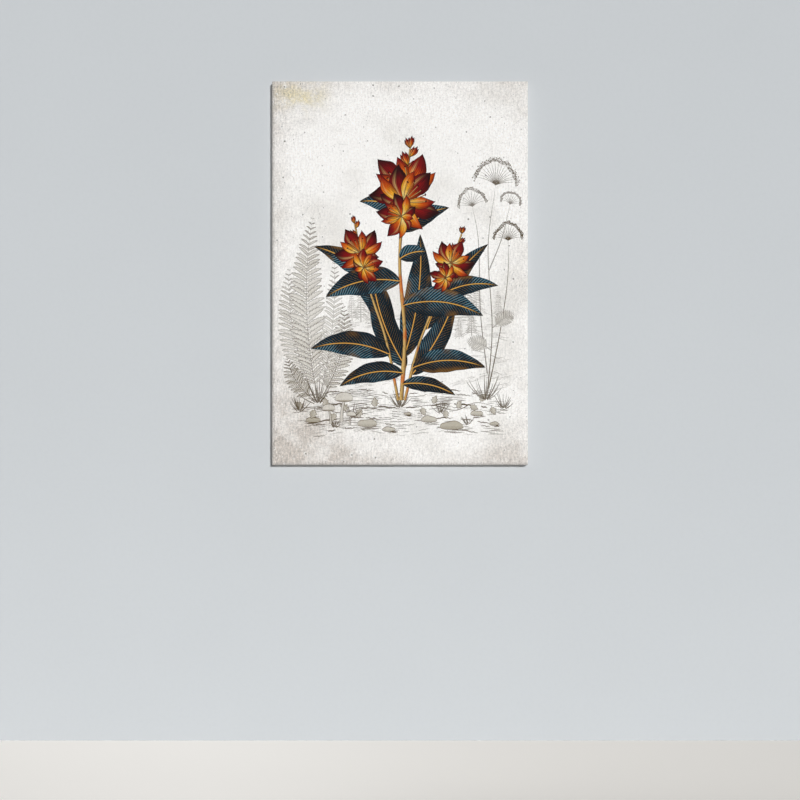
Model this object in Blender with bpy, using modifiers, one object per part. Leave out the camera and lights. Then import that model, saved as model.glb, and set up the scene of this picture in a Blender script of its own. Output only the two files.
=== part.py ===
"""A stretched canvas wall picture, 40 x 60 in, on a 38 mm deep pine stretcher frame.

+X is to the viewer's right, +Z is up, and the picture faces -Y. The origin is the hanging point, on the wall's
plane, at the middle of the sawtooth hanger. The hanger and the two bumpers touch the wall, which is at y = 0.
"""

from math import copysign, cos, pi, radians, sin, sqrt

import bmesh
import bpy
from mathutils import Matrix, Vector

# Driving dimensions, in metres.
PICTURE_WIDTH = 1.016
PICTURE_HEIGHT = 1.524
PICTURE_DEPTH = 0.038
WALL_GAP = 0.0035  # between the picture's back and the wall
TOUCH_GAP = 0.0003  # between pieces that touch

CLOTH = 0.0008  # thickness of the primed canvas
CLOTH_GAP = 0.0005  # between the canvas and the bars
CLOTH_RADIUS = 0.002  # outer radius of the wrapped edges
FLAP_WIDTH = 0.034  # canvas turned over onto the back

BAR_WIDTH = 0.044
BAR_LIP = 0.007  # raised outer rim that carries the canvas
BAR_STEP = 0.004  # drop behind the rim
BAR_STEP_WIDTH = 0.010
BAR_INNER_DROP = 0.006  # how far the bar's inner edge lies behind its rim
BAR_OUTER_CHAMFER = 0.0015
BAR_INNER_CHAMFER = 0.001

BRACE_HEIGHT = 0.040
BRACE_THICKNESS = 0.018
BRACE_CHAMFER = 0.0012

KEY_LENGTH = 0.034
KEY_HEIGHT = 0.017
KEY_THICKNESS = 0.005
KEY_SEAT = 0.008  # how deep the key's straight edge sits in the bar
KEY_FROM_CORNER = 0.002
KEY_CHAMFER = 0.0004
KEY_PLACE = 0.55  # the key's middle, as a share of the bar's depth from its front

HANGER_LENGTH = 0.090
HANGER_HEIGHT = 0.014
HANGER_SHEET = 0.001
HANGER_FOOT = 0.012
HANGER_RAMP = 0.004
HANGER_BELOW_TOP = 0.022  # from the picture's top edge to the hanger's middle
TOOTH_PITCH = 0.004
TOOTH_DEPTH = 0.003
TOOTH_COUNT = 12

NAIL_HEAD_RADIUS = 0.0026
NAIL_HEAD_HEIGHT = 0.0012
NAIL_HEAD_RINGS = 4

BUMPER_RADIUS = 0.006
BUMPER_FLAT_RADIUS = 0.0045
BUMPER_SHOULDER_RADIUS = 0.0056
BUMPER_FROM_SIDE = 0.030
BUMPER_FROM_BOTTOM = 0.022

# Places that follow from them.
TOP = HANGER_BELOW_TOP
BOTTOM = TOP - PICTURE_HEIGHT
MIDDLE = (TOP + BOTTOM) / 2
BACK = -WALL_GAP  # outer face of the canvas flaps
FRONT = BACK - PICTURE_DEPTH
FRAME_INSET = CLOTH + CLOTH_GAP  # from the picture's outside to the bars
FRAME_WIDTH = PICTURE_WIDTH - 2 * FRAME_INSET
FRAME_HEIGHT = PICTURE_HEIGHT - 2 * FRAME_INSET
BAR_DEPTH = PICTURE_DEPTH - 2 * FRAME_INSET
FRAME_BACK = BACK - FRAME_INSET
FRAME_FRONT = FRAME_BACK - BAR_DEPTH
FIXED_ON_BACK = BACK + TOUCH_GAP  # where the hanger's feet and the bumpers sit

parts = bpy.data.collections.new("canvas_picture")
cutters = bpy.data.collections.new("cutters")


def clear_scene():
    for obj in list(bpy.data.objects):
        bpy.data.objects.remove(obj)
    for collection in (parts, cutters):
        bpy.context.scene.collection.children.link(collection)


def material(name, colour, roughness, metallic=0.0):
    made = bpy.data.materials.new(name)
    made.use_nodes = True
    shader = made.node_tree.nodes["Principled BSDF"]
    shader.inputs["Base Color"].default_value = (*colour, 1.0)
    shader.inputs["Roughness"].default_value = roughness
    shader.inputs["Metallic"].default_value = metallic
    return made


def object_from(name, fill_mesh, finish, collection=parts):
    """A new object whose mesh the function fill_mesh makes."""
    made = bmesh.new()
    fill_mesh(made)
    bmesh.ops.recalc_face_normals(made, faces=made.faces)
    mesh = bpy.data.meshes.new(name)
    made.to_mesh(mesh)
    made.free()
    obj = bpy.data.objects.new(name, mesh)
    if finish:
        mesh.materials.append(finish)
    collection.objects.link(obj)
    return obj


def box(made, size):
    bmesh.ops.create_cube(made, size=1.0)
    bmesh.ops.scale(made, vec=size, verts=made.verts)


def prism(made, outline, along):
    """The outline's points joined into a face and extruded by the vector along."""
    face = made.faces.new([made.verts.new(point) for point in outline])
    sides = bmesh.ops.extrude_face_region(made, geom=[face])
    moved = [item for item in sides["geom"] if isinstance(item, bmesh.types.BMVert)]
    bmesh.ops.translate(made, vec=along, verts=moved)


def chamfer(obj, width, segments=1):
    edge = obj.modifiers.new("edge", "BEVEL")
    edge.width = width
    edge.segments = segments
    edge.limit_method = "ANGLE"
    edge.angle_limit = radians(40)


def thicken(obj, thickness):
    """Gives an open surface its thickness, inwards from the side its faces look to."""
    wall = obj.modifiers.new("wall", "SOLIDIFY")
    wall.thickness = thickness
    wall.offset = -1.0
    wall.use_even_offset = True


def make_canvas(finish):
    """The cloth: a shallow tray with its mouth to the wall and a flap turned over along each side."""

    def fill(made):
        box(made, (PICTURE_WIDTH, PICTURE_DEPTH, PICTURE_HEIGHT))
        back = max(made.faces, key=lambda face: face.calc_center_median().y)
        bmesh.ops.inset_individual(made, faces=[back], thickness=FLAP_WIDTH)
        bmesh.ops.delete(made, geom=[back], context="FACES_ONLY")

    obj = object_from("canvas", fill, finish)
    obj.location = (0, (FRONT + BACK) / 2, MIDDLE)
    chamfer(obj, CLOTH_RADIUS, 3)
    thicken(obj, CLOTH)


def bar_section():
    """The bar's section: distance in from the picture's side, and distance back from the bar's front."""
    return [
        (0.0, BAR_OUTER_CHAMFER),
        (BAR_OUTER_CHAMFER, 0.0),
        (BAR_LIP, 0.0),
        (BAR_LIP + BAR_STEP_WIDTH, BAR_STEP),
        (BAR_WIDTH, BAR_INNER_DROP),
        (BAR_WIDTH, BAR_DEPTH - BAR_INNER_CHAMFER),
        (BAR_WIDTH - BAR_INNER_CHAMFER, BAR_DEPTH),
        (BAR_OUTER_CHAMFER, BAR_DEPTH),
        (0.0, BAR_DEPTH - BAR_OUTER_CHAMFER),
    ]


def make_bar(name, length, across, turn, finish):
    """One mitred bar, as long as the frame's side. Its own X runs along it and its own Z out of the picture.

    across is the frame's size from this bar to the one opposite, and turn is the bar's angle about Y.
    """
    half = length / 2 - TOUCH_GAP * sqrt(0.5)

    def fill(made):
        prism(made, [(-half, back, -inwards) for inwards, back in bar_section()], (length, 0, 0))
        for vert in made.verts:
            vert.co.x = copysign(half + vert.co.z, vert.co.x)  # the mitre, at 45 degrees

    obj = object_from(name, fill, finish)
    outwards = Vector((sin(turn), 0, cos(turn)))
    obj.location = Vector((0, FRAME_FRONT, MIDDLE)) + outwards * across / 2
    obj.rotation_euler = (0, turn, 0)
    for end in (-1, 1):
        cut_key_slot(obj, end, length / 2 - BAR_WIDTH)


def cut_key_slot(bar, end, inner_corner):
    """A slot in the bar's inner edge, beside the corner, that one key sits in."""
    length = KEY_LENGTH + KEY_FROM_CORNER
    depth = KEY_SEAT + TOUCH_GAP
    reach = BAR_WIDTH / 4  # the cutter runs this far past the bar's inner edge
    size = (length, KEY_THICKNESS + 2 * TOUCH_GAP, depth + reach)
    cutter = object_from(f"{bar.name}_slot_{end}", lambda made: box(made, size), None, cutters)
    cutter.matrix_world = bar.matrix_basis @ Matrix.Translation(
        (end * (inner_corner - length / 2), KEY_PLACE * BAR_DEPTH, (depth - reach) / 2 - BAR_WIDTH)
    )
    cutter.hide_render = True
    cutter.display_type = "WIRE"
    cut = bar.modifiers.new("key_slot", "BOOLEAN")
    cut.operation = "DIFFERENCE"
    cut.object = cutter


def make_key(name, side_x, side_z, along_x, finish):
    """A corner wedge. Its straight edge sits in a bar and its slope rises away from the corner."""
    outline = [
        (KEY_FROM_CORNER, -KEY_SEAT),
        (KEY_LENGTH, -KEY_SEAT),
        (KEY_LENGTH, KEY_HEIGHT - KEY_SEAT),
        (KEY_LENGTH - KEY_FROM_CORNER, KEY_HEIGHT - KEY_SEAT),
        (KEY_FROM_CORNER, KEY_FROM_CORNER - KEY_SEAT),
    ]
    points = []
    for along, into_well in outline:
        across, up = (along, into_well) if along_x else (into_well, along)
        points.append((-side_x * across, -KEY_THICKNESS / 2, -side_z * up))
    obj = object_from(name, lambda made: prism(made, points, (0, KEY_THICKNESS, 0)), finish)
    obj.location = (
        side_x * (FRAME_WIDTH / 2 - BAR_WIDTH),
        FRAME_FRONT + KEY_PLACE * BAR_DEPTH,
        MIDDLE + side_z * (FRAME_HEIGHT / 2 - BAR_WIDTH),
    )
    chamfer(obj, KEY_CHAMFER)


def make_brace(finish):
    length = FRAME_WIDTH - 2 * BAR_WIDTH - 2 * TOUCH_GAP
    size = (length, BRACE_THICKNESS, BRACE_HEIGHT)
    obj = object_from("brace", lambda made: box(made, size), finish)
    obj.location = (0, FRAME_BACK - BRACE_THICKNESS / 2, MIDDLE)
    chamfer(obj, BRACE_CHAMFER)


def hanger_stations():
    """Places along the hanger: x, its back face's y and its lower edge's z."""
    half = HANGER_LENGTH / 2
    low = -HANGER_HEIGHT / 2
    foot = FIXED_ON_BACK + HANGER_SHEET
    left = [(-half, foot, low), (-half + HANGER_FOOT, foot, low)]
    left.append((-half + HANGER_FOOT + HANGER_RAMP, 0.0, low))
    teeth = []
    for step in range(2 * TOOTH_COUNT + 1):
        x = (step / 2 - TOOTH_COUNT / 2) * TOOTH_PITCH
        teeth.append((x, 0.0, low + TOOTH_DEPTH * (step % 2)))
    right = [(-x, y, z) for x, y, z in reversed(left)]
    return left + teeth + right


def make_hanger(finish):
    """A pressed strip with a raised, toothed band between two nailed feet."""

    def fill(made):
        rows = []
        for x, y, z in hanger_stations():
            rows.append((made.verts.new((x, y, z)), made.verts.new((x, y, HANGER_HEIGHT / 2))))
        for (low, high), (next_low, next_high) in zip(rows, rows[1:]):
            made.faces.new((low, high, next_high, next_low))

    obj = object_from("hanger", fill, finish)
    if obj.data.polygons[0].normal.y < 0:
        obj.data.flip_normals()
    thicken(obj, HANGER_SHEET)


def turned(name, profile, steps, finish):
    """A profile of radius and height, from the top down, turned about the axis that points to the wall."""
    mesh = bpy.data.meshes.new(name)
    edges = [(i, i + 1) for i in range(len(profile) - 1)]
    mesh.from_pydata([(radius, 0, height) for radius, height in profile], edges, [])
    mesh.materials.append(finish)
    obj = bpy.data.objects.new(name, mesh)
    parts.objects.link(obj)
    screw = obj.modifiers.new("turn", "SCREW")
    screw.steps = steps
    screw.render_steps = steps
    screw.use_merge_vertices = True
    screw.merge_threshold = 0.00001
    obj.rotation_euler = (-pi / 2, 0, 0)
    return obj


def make_nail(name, side, finish):
    """The domed head of the nail through one foot of the hanger."""
    profile = []
    for ring in range(NAIL_HEAD_RINGS + 1):
        angle = pi / 2 * ring / NAIL_HEAD_RINGS
        profile.append((NAIL_HEAD_RADIUS * sin(angle), NAIL_HEAD_HEIGHT * cos(angle)))
    profile.append((0.0, 0.0))
    obj = turned(name, profile, 20, finish)
    middle_of_foot = (HANGER_LENGTH - HANGER_FOOT) / 2
    obj.location = (side * middle_of_foot, FIXED_ON_BACK + HANGER_SHEET + TOUCH_GAP, 0)


def make_bumper(name, side, finish):
    """A soft disc that keeps the picture's foot off the wall."""
    height = WALL_GAP - TOUCH_GAP
    profile = [
        (0.0, height),
        (BUMPER_FLAT_RADIUS, height),
        (BUMPER_SHOULDER_RADIUS, height * 0.72),
        (BUMPER_RADIUS, height * 0.4),
        (BUMPER_RADIUS, 0.0),
        (0.0, 0.0),
    ]
    obj = turned(name, profile, 32, finish)
    obj.location = (
        side * (PICTURE_WIDTH / 2 - BUMPER_FROM_SIDE),
        FIXED_ON_BACK,
        BOTTOM + BUMPER_FROM_BOTTOM,
    )


def main():
    clear_scene()
    cloth = material("primed_canvas", (0.84, 0.82, 0.78), 0.75)
    pine = material("pine", (0.66, 0.46, 0.26), 0.65)
    beech = material("beech", (0.72, 0.55, 0.36), 0.6)
    steel = material("zinc_steel", (0.62, 0.61, 0.57), 0.35, 1.0)
    rubber = material("clear_rubber", (0.70, 0.70, 0.68), 0.4)

    make_canvas(cloth)
    make_bar("bar_top", FRAME_WIDTH, FRAME_HEIGHT, 0.0, pine)
    make_bar("bar_bottom", FRAME_WIDTH, FRAME_HEIGHT, pi, pine)
    make_bar("bar_right", FRAME_HEIGHT, FRAME_WIDTH, pi / 2, pine)
    make_bar("bar_left", FRAME_HEIGHT, FRAME_WIDTH, -pi / 2, pine)
    make_brace(pine)
    for side_z, row in ((1, "top"), (-1, "bottom")):
        for side_x, column in ((-1, "left"), (1, "right")):
            make_key(f"key_{row}_{column}_a", side_x, side_z, True, beech)
            make_key(f"key_{row}_{column}_b", side_x, side_z, False, beech)
    make_hanger(steel)
    for side, word in ((-1, "left"), (1, "right")):
        make_nail(f"hanger_nail_{word}", side, steel)
        make_bumper(f"bumper_{word}", side, rubber)


main()
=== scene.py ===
from math import ceil, cos, exp, pi, radians, sin, tan
from random import Random
from types import SimpleNamespace

import bmesh
import bpy
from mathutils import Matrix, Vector
from mathutils.bvhtree import BVHTree
from mathutils.geometry import delaunay_2d_cdt


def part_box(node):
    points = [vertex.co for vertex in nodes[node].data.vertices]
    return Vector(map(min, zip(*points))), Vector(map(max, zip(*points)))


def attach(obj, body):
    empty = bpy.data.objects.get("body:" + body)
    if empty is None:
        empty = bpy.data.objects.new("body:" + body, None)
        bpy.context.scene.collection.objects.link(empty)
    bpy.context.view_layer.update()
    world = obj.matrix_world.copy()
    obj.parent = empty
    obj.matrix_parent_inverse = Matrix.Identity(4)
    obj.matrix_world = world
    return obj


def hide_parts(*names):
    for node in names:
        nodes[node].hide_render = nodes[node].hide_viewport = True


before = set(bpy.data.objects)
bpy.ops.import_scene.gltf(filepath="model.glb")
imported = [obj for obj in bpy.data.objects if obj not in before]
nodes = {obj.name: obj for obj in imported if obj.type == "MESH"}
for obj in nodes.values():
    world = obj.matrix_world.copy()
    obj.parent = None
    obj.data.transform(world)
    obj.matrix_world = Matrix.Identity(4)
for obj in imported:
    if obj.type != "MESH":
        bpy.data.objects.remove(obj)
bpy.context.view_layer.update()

# what the rest is worked out from
nearCorner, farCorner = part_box("canvas")
picture = {
    "width": farCorner.x - nearCorner.x,
    "height": farCorner.z - nearCorner.z,
    "depth": farCorner.y - nearCorner.y,
    "middle": (nearCorner.z + farCorner.z) / 2,
    "front": nearCorner.y,
    "back": farCorner.y,
}
halfWide = picture["width"] / 2
halfTall = picture["height"] / 2


# small helpers for node trees

class Flow:
    # what runs out of a node's socket, so that sums can be written plainly
    def __init__(self, socket):
        self.socket = socket

    def __add__(self, other):
        return calc("ADD", self, other)

    def __sub__(self, other):
        return calc("SUBTRACT", self, other)

    def __rsub__(self, other):
        return calc("SUBTRACT", other, self)

    def __mul__(self, other):
        return calc("MULTIPLY", self, other)

    def __rmul__(self, other):
        return calc("MULTIPLY", other, self)

    def __truediv__(self, other):
        return calc("DIVIDE", self, other)

    def __rtruediv__(self, other):
        return calc("DIVIDE", other, self)

    def __neg__(self):
        return calc("MULTIPLY", self, -1.0)

    def __abs__(self):
        return calc("ABSOLUTE", self)


def treeOf(values):
    # the node tree that the flows among the values belong to
    return next(value.socket.id_data for value in values if isinstance(value, Flow))


def feed(socket, value):
    if isinstance(value, Flow):
        socket.id_data.links.new(value.socket, socket)
    elif value is not None:
        socket.default_value = value


def addNode(tree, kind, inputs=None, **settings):
    made = tree.nodes.new(kind)
    for name, value in settings.items():
        setattr(made, name, value)
    for key, value in (inputs or {}).items():
        feed(made.inputs[key], value)
    return made


def flow(tree, kind, inputs=None, out=0, **settings):
    # one output of a new node
    return Flow(addNode(tree, kind, inputs, **settings).outputs[out])


def flows(tree, kind, inputs=None, **settings):
    # all the outputs of a new node, by name
    return {socket.name: Flow(socket) for socket in addNode(tree, kind, inputs, **settings).outputs}


def calc(operation, *values, clamp=False):
    inputs = dict(enumerate(values))
    return flow(treeOf(values), "ShaderNodeMath", inputs, operation=operation, use_clamp=clamp)


def larger(first, second):
    return calc("MAXIMUM", first, second)


def smaller(first, second):
    return calc("MINIMUM", first, second)


def distance(x, z):
    return calc("SQRT", x * x + z * z)


def fade(value, start, end, low=0.0, high=1.0):
    # runs smoothly from low to high as value goes from start to end
    inputs = {"Value": value, "From Min": start, "From Max": end, "To Min": low, "To Max": high}
    return flow(value.socket.id_data, "ShaderNodeMapRange", inputs, interpolation_type="SMOOTHSTEP")


def blend(factor, first, second, kind="MIX"):
    # first where the factor is 0, second where it is 1
    inputs = {0: factor, 6: first, 7: second}
    return flow(treeOf(inputs.values()), "ShaderNodeMix", inputs, 2, data_type="RGBA", blend_type=kind)


def noise(vector, scale, detail=3.0, roughness=0.55, stretch=None):
    tree = vector.socket.id_data
    if stretch:
        vector = flow(tree, "ShaderNodeMapping", {"Vector": vector, "Scale": stretch})
    inputs = {"Vector": vector, "Scale": scale, "Detail": detail, "Roughness": roughness}
    return flow(tree, "ShaderNodeTexNoise", inputs)


def split(vector):
    return list(flows(vector.socket.id_data, "ShaderNodeSeparateXYZ", {0: vector}).values())


def join(x=0.0, y=0.0, z=0.0):
    return flow(treeOf((x, y, z)), "ShaderNodeCombineXYZ", {0: x, 1: y, 2: z})


def places(tree):
    return flow(tree, "ShaderNodeTexCoord", out="Object")


def uvMap(tree, name):
    return flow(tree, "ShaderNodeUVMap", uv_map=name)


def colour(red, green, blue):
    # screen values of 0 to 255, as a linear colour
    def linear(part):
        part /= 255
        return part / 12.92 if part <= 0.04045 else ((part + 0.055) / 1.055) ** 2.4

    return (linear(red), linear(green), linear(blue), 1.0)


def newGroup(name, takes, gives, kind="ShaderNodeTree"):
    # a node group whose inputs and outputs are named, each with a socket kind or a number to start from
    tree = bpy.data.node_groups.new(name, kind)
    for way, labels in (("INPUT", takes), ("OUTPUT", gives)):
        for label, value in labels.items():
            socketKind = value if isinstance(value, str) else "Float"
            socket = tree.interface.new_socket(label, in_out=way, socket_type="NodeSocket" + socketKind)
            if value != socketKind:
                socket.default_value = value
    inside = tree.nodes.new("NodeGroupInput").outputs
    return tree, {label: Flow(inside[label]) for label in takes}, tree.nodes.new("NodeGroupOutput").inputs


def useGroup(group, inputs):
    return flows(treeOf(inputs.values()), "ShaderNodeGroup", inputs, node_tree=group)


def newMaterial(name, paint, roughness, **settings):
    # paint(tree) gives the colour and, where there is one, the roughness and the height and its depth
    made = bpy.data.materials.new(name)
    made.use_nodes = True
    tree = made.node_tree
    sockets = tree.nodes["Principled BSDF"].inputs
    sockets["Roughness"].default_value = roughness
    for label, value in settings.items():
        sockets[label].default_value = value
    looks = paint(tree)
    feed(sockets["Base Color"], looks["colour"])
    feed(sockets["Roughness"], looks.get("roughness"))
    if "height" in looks:
        bump = {"Height": looks["height"], "Distance": looks["depth"], "Strength": 1.0}
        feed(sockets["Normal"], flow(tree, "ShaderNodeBump", bump))
    return made


# the cloth's finish

cloth = {
    "thickness": 0.0006,
    "thread": 0.00085,  # from one thread to the next
    "relief": 0.00012,  # of the threads under the print
    "rawRelief": 0.0004,
    "edgeRadius": 0.002,
    "flap": 0.034,
    "bleed": 0.013,  # print that runs on over the back
    "cell": 0.022,  # mesh spacing
    "wave": 0.0004,  # slack between staples
    "waveRise": 0.02,  # from the edge to full slack
    "flapFrom": 0.0008,  # points this near the back lie on a flap
    "cutWaves": ((0.0007, 61, 0), (0.0005, 143, 1)),  # of the cut edge: reach, turns, start
}
ground = {
    "paper": colour(252, 250, 247),
    "cloud": colour(236, 233, 228),
    "soil": colour(203, 195, 187),
    # painted shade for the lower and left edges
    "paintedEdgeShade": colour(176, 172, 168),
    "stain": colour(226, 214, 170),
    "speck": colour(112, 104, 96),
    "chip": colour(252, 251, 249),
    "primer": colour(240, 239, 235),
    "grain": 1.55,  # how far streaks and grain lighten and darken it
    # soiled edges: across or up, half size, side, strength
    "edges": (
        (0, halfWide, -1, 0.32), (0, halfWide, 1, 0.06), (1, halfTall, -1, 0.3), (1, halfTall, 1, 0.22),
    ),
    # soiled corners: side, end, reach in metres, strength
    "corners": ((-1, -1, 0.62, 1.0), (-1, 1, 0.3, 0.75), (1, -1, 0.26, 0.8), (1, 1, 0.22, 0.35)),
    # pits and flecks: cells in a metre, size in a cell, the share left out, strength
    "pits": ((11.0, 0.046, 0.4, 0.95), (31.0, 0.066, 0.6, 0.65), (90.0, 0.12, 0.7, 0.4)),
}
rawCloth = {
    "pale": colour(214, 206, 187),
    "deep": colour(204, 194, 173),
    "slub": colour(182, 170, 146),
    "seed": colour(122, 100, 70),
    # painted shade in the gaps between the raw threads
    "gap": colour(132, 120, 98),
}


def buildWeave():
    takes = {"Vector": "Vector", "Thread": cloth["thread"]}
    tree, takes, gives = newGroup("clothWeave", takes, {"Height": "Float", "GapShade": "Float"})
    x, y, _ = split(takes["Vector"])
    turn = 2 * pi / takes["Thread"]
    slub = noise(takes["Vector"], 60.0, 2.0, stretch=(1.0, 0.12, 1.0))
    slubAcross = noise(takes["Vector"], 60.0, 2.0, stretch=(0.12, 1.0, 1.0))
    alongX = calc("SINE", x * turn + slub * 2.0)
    alongY = calc("SINE", y * turn + slubAcross * 2.0)
    # over and under: one thread rises where the other dips
    feed(gives["Height"], alongX * alongY * 0.35 + (slub + slubAcross) * 0.5)
    # painted shade: darkest where the threads dip at their edges
    feed(gives["GapShade"], fade(abs(alongX) + abs(alongY), 0.5, 0.0))
    return tree


def soiledWithEdgeShade(x, z, blotch, shade):
    # soiling creeps in from the corners and a little from every edge, and painted shade darkens the lower and
    # left edges
    dirt = 0.0
    for part, half, side, strength in ground["edges"]:
        dirt = larger(dirt, fade((x, z)[part] * -side + half, 0.1, 0.0, 0.0, strength))
    for side, end, reach, strength in ground["corners"]:
        away = distance(x - side * halfWide, z - end * halfTall)
        dirt = dirt + fade(away, reach, 0.0, 0.0, strength)
    dirt = calc("MULTIPLY", dirt, fade(blotch, 0.34, 0.68, 0.45, 1.3), clamp=True)
    shade = blend(dirt, shade, ground["soil"])
    # painted shade along the lower and left edges, darkest at the edge, as if lit from the upper right
    edgeShadeMask = fade(abs(smaller(x + halfWide, z + halfTall)), 0.014, 0.0, 0.0, 0.75)
    shade = blend(edgeShadeMask, shade, ground["paintedEdgeShade"])
    # an old yellow stain towards the upper left
    stain = fade(abs(x + 0.4), 0.16, 0.0) * (fade(abs(z - 0.7), 0.09, 0.0) * fade(blotch, 0.38, 0.62))
    return dirt, blend(stain * 0.75, shade, ground["stain"])


def pitted(tree, spot, streak, shade):
    # ragged pits and flecks, each beside a chipped pale patch, and hairline cracks here and there
    tear = flow(tree, "ShaderNodeTexNoise", {"Vector": spot, "Scale": 240.0, "Detail": 3.0}, "Color")
    tear = flow(tree, "ShaderNodeVectorMath", {0: tear, 1: (0.5, 0.5, 0.5)}, operation="SUBTRACT")

    def ragged(scale, reach, feature="F1"):
        inputs = {0: tear, 1: (reach, reach, reach), 2: spot}
        torn = flow(tree, "ShaderNodeVectorMath", inputs, operation="MULTIPLY_ADD")
        inputs = {"Vector": torn, "Scale": scale}
        return flows(tree, "ShaderNodeTexVoronoi", inputs, voronoi_dimensions="2D", feature=feature)

    for scale, size, few, strength in ground["pits"]:
        cells = ragged(scale, 0.009)
        pick = split(cells["Color"])[0]
        picked = calc("GREATER_THAN", pick, few)
        reach = size * (pick + 0.2)
        chip = fade(cells["Distance"], reach * 2.4, reach, 0.0, 0.7) * fade(streak, 0.42, 0.56)
        shade = blend(chip * picked, shade, ground["chip"])
        fleck = fade(cells["Distance"], reach, reach * 0.3, 0.0, strength)
        shade = blend(fleck * picked, shade, ground["speck"])
    crack = fade(ragged(12.0, 0.007, "DISTANCE_TO_EDGE")["Distance"], 0.018, 0.005)
    return blend(crack * fade(noise(spot, 7.0, 2.0), 0.56, 0.7, 0.0, 0.32), shade, ground["speck"])


def buildGround():
    # the print's aged plaster ground, on flat cloth coordinates from the picture's middle
    tree, takes, gives = newGroup("agedGround", {"Vector": "Vector"}, {"Color": "Color", "Wear": "Float"})
    spot = takes["Vector"]
    blotch = noise(spot, 9.0, 5.0, 0.65)
    shade = blend(fade(noise(spot, 3.2, 4.0), 0.44, 0.68), ground["paper"], ground["cloud"])
    shade = blend(fade(blotch, 0.52, 0.74, 0.0, 0.55), shade, ground["cloud"])
    x, z, _ = split(spot)
    dirt, shade = soiledWithEdgeShade(x, z, blotch, shade)
    # brushed streaks and grain, harsher where the plaster is soiled and in the outer parts
    streak = noise(spot, 95.0, 3.0, 0.7, stretch=(1.7, 0.36, 1.0))
    mark = streak * 0.36 + noise(spot, 125.0, 4.0, 0.85) * 0.64
    inward = smaller(halfWide - abs(x), halfTall - abs(z))
    outer = fade(inward, 0.34, 0.04, ground["grain"] * 0.65, ground["grain"] * 1.15)
    harsh = dirt * (ground["grain"] * 1.2) + outer
    shade = blend(1.0, shade, (mark - 0.5) * harsh + 1.0, "MULTIPLY")
    feed(gives["Color"], pitted(tree, spot, streak, shade))
    feed(gives["Wear"], mark)
    return tree


weave = buildWeave()
agedGround = buildGround()


def onThreads(flat, shade):
    # a printed colour, with the threads of the cloth under it and painted shade between the threads
    threads = useGroup(weave, {"Vector": flat})
    # painted shade between the threads
    shade = blend(threads["GapShade"] * 0.22, shade, ground["cloud"], "MULTIPLY")
    return {"colour": shade, "height": threads["Height"], "depth": cloth["relief"]}


def paintCloth(tree):
    flat = uvMap(tree, "clothMap")
    x, z, _ = split(flat)
    beyond = larger(abs(x) - halfWide, abs(z) - halfTall)
    edge = noise(flat, 220.0, 2.0) * 0.002 + (picture["depth"] + cloth["bleed"])
    printed = useGroup(agedGround, {"Vector": flat})["Color"]
    return onThreads(flat, blend(fade(beyond, edge, edge + 0.0012), printed, ground["primer"]))


def paintRawCloth(tree):
    flat = uvMap(tree, "clothMap")
    threads = useGroup(weave, {"Vector": flat})
    shade = blend(fade(noise(flat, 14.0, 4.0), 0.3, 0.75), rawCloth["pale"], rawCloth["deep"])
    for stretch in ((1.6, 0.12, 1.0), (0.12, 1.6, 1.0)):
        slubs = noise(flat, 150.0, 2.0, stretch=stretch)
        shade = blend(fade(slubs, 0.56, 0.72, 0.0, 0.38), shade, rawCloth["slub"])
    seeds = noise(flat, 520.0, 1.0)
    shade = blend(fade(seeds, 0.7, 0.76, 0.0, 0.7), shade, rawCloth["seed"])
    # painted shade in the gaps between the raw threads
    shade = blend(threads["GapShade"] * 0.8, shade, rawCloth["gap"])
    return {"colour": shade, "height": threads["Height"], "depth": cloth["rawRelief"]}


# the cloth itself

def makeObject(name, data, *finishes):
    obj = bpy.data.objects.new(name, data)
    bpy.context.scene.collection.objects.link(obj)
    for finish in finishes:
        data.materials.append(finish)
    return obj


def meshObject(name, made, *finishes):
    # an object from a finished bmesh
    mesh = bpy.data.meshes.new(name)
    made.to_mesh(mesh)
    made.free()
    return makeObject(name, mesh, *finishes)


def applied(obj):
    # the object with its modifiers worked into its mesh
    bpy.context.view_layer.update()
    found = bpy.data.meshes.new_from_object(obj.evaluated_get(bpy.context.evaluated_depsgraph_get()))
    obj.modifiers.clear()
    obj.data = found
    return obj


def gaps(spot):
    # how far a point lies inside the picture's sides and ends
    return halfWide - abs(spot.x), halfTall - abs(spot.z - picture["middle"])


def unfolded(spot, outward, centre):
    # where a point of the wrapped cloth lies when the cloth is flat, from the picture's middle
    x, z = spot.x, spot.z - picture["middle"]
    past = spot.y - picture["front"]
    if outward.y > 0.7:
        gapX, gapZ = gaps(centre)
        sideways = gapX < gapZ
    else:
        sideways = abs(outward.x) > abs(outward.z)
    if outward.y > 0:  # on the flap the cloth runs back towards the middle
        past += 2 * gaps(spot)[0 if sideways else 1]
    if sideways:
        return x + (past if x > 0 else -past), z
    return x, z + (past if z > 0 else -past)


def slack(spot):
    # the flaps lift a little between the staples, and their cut edge wanders
    if spot.y < picture["back"] - cloth["flapFrom"]:
        return Vector()
    gapX, gapZ = gaps(spot)
    inward, upright = min(gapX, gapZ), gapX < gapZ
    run = spot.z - picture["middle"] if upright else spot.x
    lift = cloth["wave"] * (0.5 - 0.5 * cos(2 * pi * run / staples["spacing"]))
    lift *= min(inward / cloth["waveRise"], 1.0)
    stray = 0.0
    if inward > cloth["flap"] * 0.9:
        stray = sum(reach * sin(run * turns + start) for reach, turns, start in cloth["cutWaves"])
    if upright:
        return Vector((-stray if spot.x > 0 else stray, lift, 0))
    return Vector((0, lift, -stray if spot.z > picture["middle"] else stray))


def settled(made):
    # the same mesh with its faces in a fixed order, because cuts leave them in one that varies
    made.verts.index_update()
    rings = []
    for face in made.faces:
        ring = [vert.index for vert in face.verts]
        first = ring.index(min(ring))
        rings.append(ring[first:] + ring[:first])
    fresh = bmesh.new()
    verts = [fresh.verts.new(vert.co) for vert in made.verts]
    for ring in sorted(rings):
        fresh.faces.new([verts[corner] for corner in ring])
    made.free()
    fresh.normal_update()
    return fresh


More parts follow.
